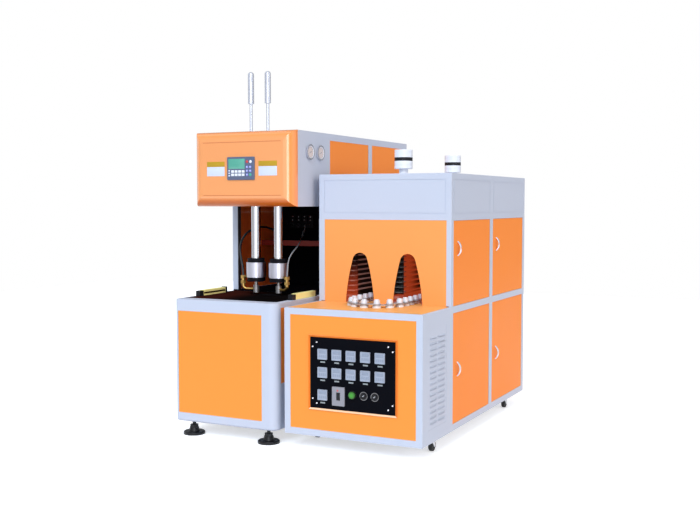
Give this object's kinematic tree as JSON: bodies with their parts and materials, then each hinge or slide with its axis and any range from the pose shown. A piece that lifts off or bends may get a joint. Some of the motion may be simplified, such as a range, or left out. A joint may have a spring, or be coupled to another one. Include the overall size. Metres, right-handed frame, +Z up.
{
  "type": "blow moulding machine",
  "caption": "Two-station bottle blower with lowering seal heads, stretch rods and mould clamp, beside an infrared preform heater with a chain of holders, doors and casters.",
  "frame": {"origin": "on the floor, under the middle of the pair of units", "axes": "+Z up, the operator stands on the -Y side and looks along +Y, the blower is on the -X side and the heater on the +X side"},
  "size_m": [1.639, 1.9091, 2.225],
  "materials": {
    "frame_paint": "satin",
    "orange_paint": "satin",
    "orange_plastic": "gloss",
    "dark_plate": "gloss",
    "chrome": "polished",
    "machined_steel": "brushed",
    "black_paint": "satin",
    "brass": "machined",
    "aluminium": "satin",
    "black_hose": "matte",
    "black_plastic": "matte",
    "blue_plastic": "matte",
    "yellow_paint": "satin",
    "cast_iron": "matte",
    "green_plastic": "gloss",
    "red_paint": "satin",
    "lamp_glass": "clear",
    "tyre_rubber": "matte",
    "grey_plastic": "matte"
  },
  "bodies": {
    "machine": {"base_cabinet": "frame_paint", "base_front_panel": "orange_paint", "mould_deck": "dark_plate", "upper_body": "frame_paint", "blower_panels": "orange_paint", "head_cover": "orange_plastic", "display_unit": "blue_plastic", "pressure_gauges": "chrome", "mould_front_half": "aluminium", "clamp_frame": "machined_steel", "clamp_cylinder": "aluminium", "bulkhead": "black_paint", "cross_beam": "orange_paint", "valve_bar": "black_paint", "light_curtain_bars": "yellow_paint", "light_curtain_ends": "black_plastic", "levelling_feet": "cast_iron", "air_hose_left": "black_hose", "air_hose_right": "black_hose", "heater_frame": "frame_paint", "heater_hood": "frame_paint", "heater_front_panel": "orange_paint", "heater_shelf": "orange_paint", "arched_front": "orange_paint", "louvre_panels": "frame_paint", "heater_panels": "orange_paint", "control_panel": "black_paint", "panel_meters": "black_plastic", "breaker_body": "grey_plastic", "preform_holders": "aluminium", "preform_chain": "machined_steel", "lamp_reflectors": "red_paint", "lamp_tubes": "lamp_glass", "exhaust_pipes": "frame_paint"},
    "seal_heads": {"seal_rods": "chrome", "seal_cylinders": "aluminium", "seal_caps": "black_paint", "seal_nozzles": "machined_steel", "air_elbows": "brass"},
    "stretch_unit": {"stretch_carriage": "aluminium", "stretch_rods": "chrome"},
    "rear_platen": {"moving_platen": "machined_steel", "mould_rear_half": "aluminium"},
    "rocker": {"breaker_rocker": "black_plastic"},
    "button": {"start_button": "green_plastic"},
    "left_knob": {"knob_left": "black_plastic"},
    "right_knob": {"knob_right": "black_plastic"},
    "lower_front_door": {"door_lower_front": "orange_paint"},
    "upper_front_door": {"door_upper_front": "orange_paint"},
    "lower_rear_door": {"door_lower_rear": "orange_paint"},
    "upper_rear_door": {"door_upper_rear": "orange_paint"},
    "fork_front_left": {"caster_fork_front_left": "machined_steel"},
    "wheel_front_left": {"caster_wheel_front_left": "tyre_rubber"},
    "fork_front_right": {"caster_fork_front_right": "machined_steel"},
    "wheel_front_right": {"caster_wheel_front_right": "tyre_rubber"},
    "fork_rear_left": {"caster_fork_rear_left": "machined_steel"},
    "wheel_rear_left": {"caster_wheel_rear_left": "tyre_rubber"},
    "fork_rear_right": {"caster_fork_rear_right": "machined_steel"},
    "wheel_rear_right": {"caster_wheel_rear_right": "tyre_rubber"}
  },
  "joints": [
    {"name": "seal_lift", "type": "slide", "parent": "machine", "child": "seal_heads", "axis": [0, 0, 1], "range_m": [0, 0.04], "deforming": ["air_hose_left", "air_hose_right"]},
    {"name": "stretch", "type": "slide", "parent": "machine", "child": "stretch_unit", "axis": [0, 0, -1], "range_m": [0, 0.165]},
    {"name": "mould_open", "type": "slide", "parent": "machine", "child": "rear_platen", "axis": [0, 1, 0], "range_m": [0, 0.12]},
    {"name": "breaker_tip", "type": "hinge", "parent": "machine", "child": "rocker", "pos_m": [0.2895, -0.93885, 0.328], "axis": [1, 0, 0], "range_deg": [-10, 10]},
    {"name": "button_press", "type": "slide", "parent": "machine", "child": "button", "axis": [0, 1, 0], "range_m": [0, 0.004], "stiffness_N_per_m": 800, "springref_m": -0.002},
    {"name": "left_knob_turn", "type": "hinge", "parent": "machine", "child": "left_knob", "pos_m": [0.4455, -0.93535, 0.343], "axis": [0, 1, 0], "range_deg": [-60, 60]},
    {"name": "right_knob_turn", "type": "hinge", "parent": "machine", "child": "right_knob", "pos_m": [0.5135, -0.93535, 0.343], "axis": [0, 1, 0], "range_deg": [-60, 60]},
    {"name": "lower_front_door_swing", "type": "hinge", "parent": "machine", "child": "lower_front_door", "pos_m": [0.7905, 0.17415, 0.45], "axis": [0, 0, 1], "range_deg": [0, 110]},
    {"name": "upper_front_door_swing", "type": "hinge", "parent": "machine", "child": "upper_front_door", "pos_m": [0.7905, 0.17415, 1.063], "axis": [0, 0, 1], "range_deg": [0, 110]},
    {"name": "lower_rear_door_swing", "type": "hinge", "parent": "machine", "child": "lower_rear_door", "pos_m": [0.7905, 0.88615, 0.45], "axis": [0, 0, 1], "range_deg": [0, 110]},
    {"name": "upper_rear_door_swing", "type": "hinge", "parent": "machine", "child": "upper_rear_door", "pos_m": [0.7905, 0.88615, 1.063], "axis": [0, 0, 1], "range_deg": [0, 110]},
    {"name": "fork_front_left_swivel", "type": "hinge", "parent": "machine", "child": "fork_front_left", "pos_m": [-0.0025, -0.66735, 0.076], "axis": [0, 0, 1], "continuous": true},
    {"name": "wheel_front_left_roll", "type": "hinge", "parent": "fork_front_left", "child": "wheel_front_left", "pos_m": [-0.0025, -0.63935, 0.032], "axis": [1, 0, 0], "continuous": true},
    {"name": "fork_front_right_swivel", "type": "hinge", "parent": "machine", "child": "fork_front_right", "pos_m": [0.7345, -0.66735, 0.076], "axis": [0, 0, 1], "continuous": true},
    {"name": "wheel_front_right_roll", "type": "hinge", "parent": "fork_front_right", "child": "wheel_front_right", "pos_m": [0.7345, -0.63935, 0.032], "axis": [1, 0, 0], "continuous": true},
    {"name": "fork_rear_left_swivel", "type": "hinge", "parent": "machine", "child": "fork_rear_left", "pos_m": [-0.0025, 0.67465, 0.076], "axis": [0, 0, 1], "continuous": true},
    {"name": "wheel_rear_left_roll", "type": "hinge", "parent": "fork_rear_left", "child": "wheel_rear_left", "pos_m": [-0.0025, 0.70265, 0.032], "axis": [1, 0, 0], "continuous": true},
    {"name": "fork_rear_right_swivel", "type": "hinge", "parent": "machine", "child": "fork_rear_right", "pos_m": [0.7345, 0.67465, 0.076], "axis": [0, 0, 1], "continuous": true},
    {"name": "wheel_rear_right_roll", "type": "hinge", "parent": "fork_rear_right", "child": "wheel_rear_right", "pos_m": [0.7345, 0.70265, 0.032], "axis": [1, 0, 0], "continuous": true}
  ]
}
